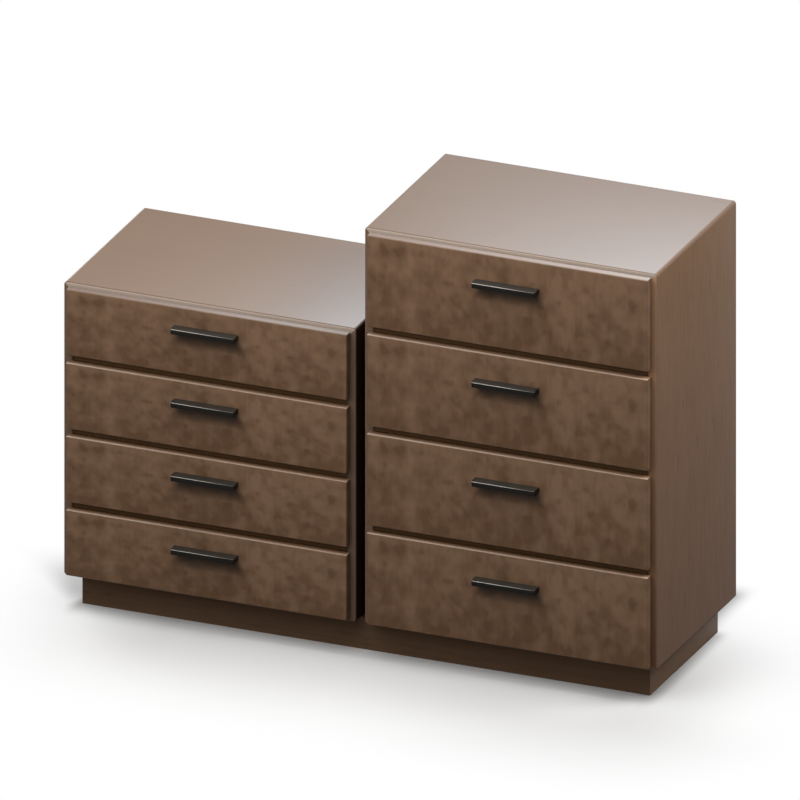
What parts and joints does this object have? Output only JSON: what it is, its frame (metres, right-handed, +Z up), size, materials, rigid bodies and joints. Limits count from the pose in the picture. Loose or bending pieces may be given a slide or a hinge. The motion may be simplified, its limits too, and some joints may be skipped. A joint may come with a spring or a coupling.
{
  "type": "dresser",
  "caption": "Dark veneered dresser: a low and a tall cabinet of drawers side by side on one recessed plinth, with black ledge pulls.",
  "frame": {"origin": "on the floor under the middle of the whole, with the pulls counted in its depth", "axes": "+Z up, -Y towards the drawer fronts, +X from the low cabinet to the tall one"},
  "size_m": [1.286, 0.4536, 0.9305],
  "materials": {
    "veneer": "satin dark brown veneer",
    "front_veneer": "satin dark brown figured veneer",
    "plinth_veneer": "satin dark brown veneer",
    "block_wood": "sawn softwood",
    "back_board": "thin fibreboard",
    "box_wood": "lacquered birch",
    "steel": "zinc-plated",
    "black_metal": "satin black powder coat"
  },
  "bodies": {
    "cabinets": {"plinth_front": "plinth_veneer", "plinth_back": "plinth_veneer", "plinth_ends": "plinth_veneer", "plinth_cross_rails": "plinth_veneer", "plinth_corner_blocks": "block_wood", "low_left_side": "veneer", "low_right_side": "veneer", "low_top": "veneer", "low_bottom": "veneer", "low_back": "back_board", "low_rails": "veneer", "low_cabinet_members": "steel", "tall_left_side": "veneer", "tall_right_side": "veneer", "tall_top": "veneer", "tall_bottom": "veneer", "tall_back": "back_board", "tall_rails": "veneer", "tall_cabinet_members": "steel"},
    "low_drawer_1": {"low_drawer_1_front": "front_veneer", "low_drawer_1_box": "box_wood", "low_drawer_1_pull": "black_metal", "low_drawer_1_drawer_members": "steel"},
    "low_drawer_1_runners": {"low_drawer_1_middle_members": "steel"},
    "low_drawer_2": {"low_drawer_2_front": "front_veneer", "low_drawer_2_box": "box_wood", "low_drawer_2_pull": "black_metal", "low_drawer_2_drawer_members": "steel"},
    "low_drawer_2_runners": {"low_drawer_2_middle_members": "steel"},
    "low_drawer_3": {"low_drawer_3_front": "front_veneer", "low_drawer_3_box": "box_wood", "low_drawer_3_pull": "black_metal", "low_drawer_3_drawer_members": "steel"},
    "low_drawer_3_runners": {"low_drawer_3_middle_members": "steel"},
    "low_drawer_4": {"low_drawer_4_front": "front_veneer", "low_drawer_4_box": "box_wood", "low_drawer_4_pull": "black_metal", "low_drawer_4_drawer_members": "steel"},
    "low_drawer_4_runners": {"low_drawer_4_middle_members": "steel"},
    "tall_drawer_1": {"tall_drawer_1_front": "front_veneer", "tall_drawer_1_box": "box_wood", "tall_drawer_1_pull": "black_metal", "tall_drawer_1_drawer_members": "steel"},
    "tall_drawer_1_runners": {"tall_drawer_1_middle_members": "steel"},
    "tall_drawer_2": {"tall_drawer_2_front": "front_veneer", "tall_drawer_2_box": "box_wood", "tall_drawer_2_pull": "black_metal", "tall_drawer_2_drawer_members": "steel"},
    "tall_drawer_2_runners": {"tall_drawer_2_middle_members": "steel"},
    "tall_drawer_3": {"tall_drawer_3_front": "front_veneer", "tall_drawer_3_box": "box_wood", "tall_drawer_3_pull": "black_metal", "tall_drawer_3_drawer_members": "steel"},
    "tall_drawer_3_runners": {"tall_drawer_3_middle_members": "steel"},
    "tall_drawer_4": {"tall_drawer_4_front": "front_veneer", "tall_drawer_4_box": "box_wood", "tall_drawer_4_pull": "black_metal", "tall_drawer_4_drawer_members": "steel"},
    "tall_drawer_4_runners": {"tall_drawer_4_middle_members": "steel"}
  },
  "joints": [
    {"name": "low_drawer_1_slide", "type": "slide", "parent": "cabinets", "child": "low_drawer_1", "axis": [0, -1, 0], "range_m": [0, 0.35]},
    {"name": "low_drawer_1_runners_slide", "type": "slide", "parent": "cabinets", "child": "low_drawer_1_runners", "axis": [0, -1, 0], "range_m": [0, 0.175]},
    {"name": "low_drawer_2_slide", "type": "slide", "parent": "cabinets", "child": "low_drawer_2", "axis": [0, -1, 0], "range_m": [0, 0.35]},
    {"name": "low_drawer_2_runners_slide", "type": "slide", "parent": "cabinets", "child": "low_drawer_2_runners", "axis": [0, -1, 0], "range_m": [0, 0.175]},
    {"name": "low_drawer_3_slide", "type": "slide", "parent": "cabinets", "child": "low_drawer_3", "axis": [0, -1, 0], "range_m": [0, 0.35]},
    {"name": "low_drawer_3_runners_slide", "type": "slide", "parent": "cabinets", "child": "low_drawer_3_runners", "axis": [0, -1, 0], "range_m": [0, 0.175]},
    {"name": "low_drawer_4_slide", "type": "slide", "parent": "cabinets", "child": "low_drawer_4", "axis": [0, -1, 0], "range_m": [0, 0.35]},
    {"name": "low_drawer_4_runners_slide", "type": "slide", "parent": "cabinets", "child": "low_drawer_4_runners", "axis": [0, -1, 0], "range_m": [0, 0.175]},
    {"name": "tall_drawer_1_slide", "type": "slide", "parent": "cabinets", "child": "tall_drawer_1", "axis": [0, -1, 0], "range_m": [0, 0.35]},
    {"name": "tall_drawer_1_runners_slide", "type": "slide", "parent": "cabinets", "child": "tall_drawer_1_runners", "axis": [0, -1, 0], "range_m": [0, 0.175]},
    {"name": "tall_drawer_2_slide", "type": "slide", "parent": "cabinets", "child": "tall_drawer_2", "axis": [0, -1, 0], "range_m": [0, 0.35]},
    {"name": "tall_drawer_2_runners_slide", "type": "slide", "parent": "cabinets", "child": "tall_drawer_2_runners", "axis": [0, -1, 0], "range_m": [0, 0.175]},
    {"name": "tall_drawer_3_slide", "type": "slide", "parent": "cabinets", "child": "tall_drawer_3", "axis": [0, -1, 0], "range_m": [0, 0.35]},
    {"name": "tall_drawer_3_runners_slide", "type": "slide", "parent": "cabinets", "child": "tall_drawer_3_runners", "axis": [0, -1, 0], "range_m": [0, 0.175]},
    {"name": "tall_drawer_4_slide", "type": "slide", "parent": "cabinets", "child": "tall_drawer_4", "axis": [0, -1, 0], "range_m": [0, 0.35]},
    {"name": "tall_drawer_4_runners_slide", "type": "slide", "parent": "cabinets", "child": "tall_drawer_4_runners", "axis": [0, -1, 0], "range_m": [0, 0.175]}
  ],
  "couplings": [
    {"joint": "low_drawer_1_runners_slide", "follows": "low_drawer_1_slide", "ratio": 0.5},
    {"joint": "low_drawer_2_runners_slide", "follows": "low_drawer_2_slide", "ratio": 0.5},
    {"joint": "low_drawer_3_runners_slide", "follows": "low_drawer_3_slide", "ratio": 0.5},
    {"joint": "low_drawer_4_runners_slide", "follows": "low_drawer_4_slide", "ratio": 0.5},
    {"joint": "tall_drawer_1_runners_slide", "follows": "tall_drawer_1_slide", "ratio": 0.5},
    {"joint": "tall_drawer_2_runners_slide", "follows": "tall_drawer_2_slide", "ratio": 0.5},
    {"joint": "tall_drawer_3_runners_slide", "follows": "tall_drawer_3_slide", "ratio": 0.5},
    {"joint": "tall_drawer_4_runners_slide", "follows": "tall_drawer_4_slide", "ratio": 0.5}
  ]
}
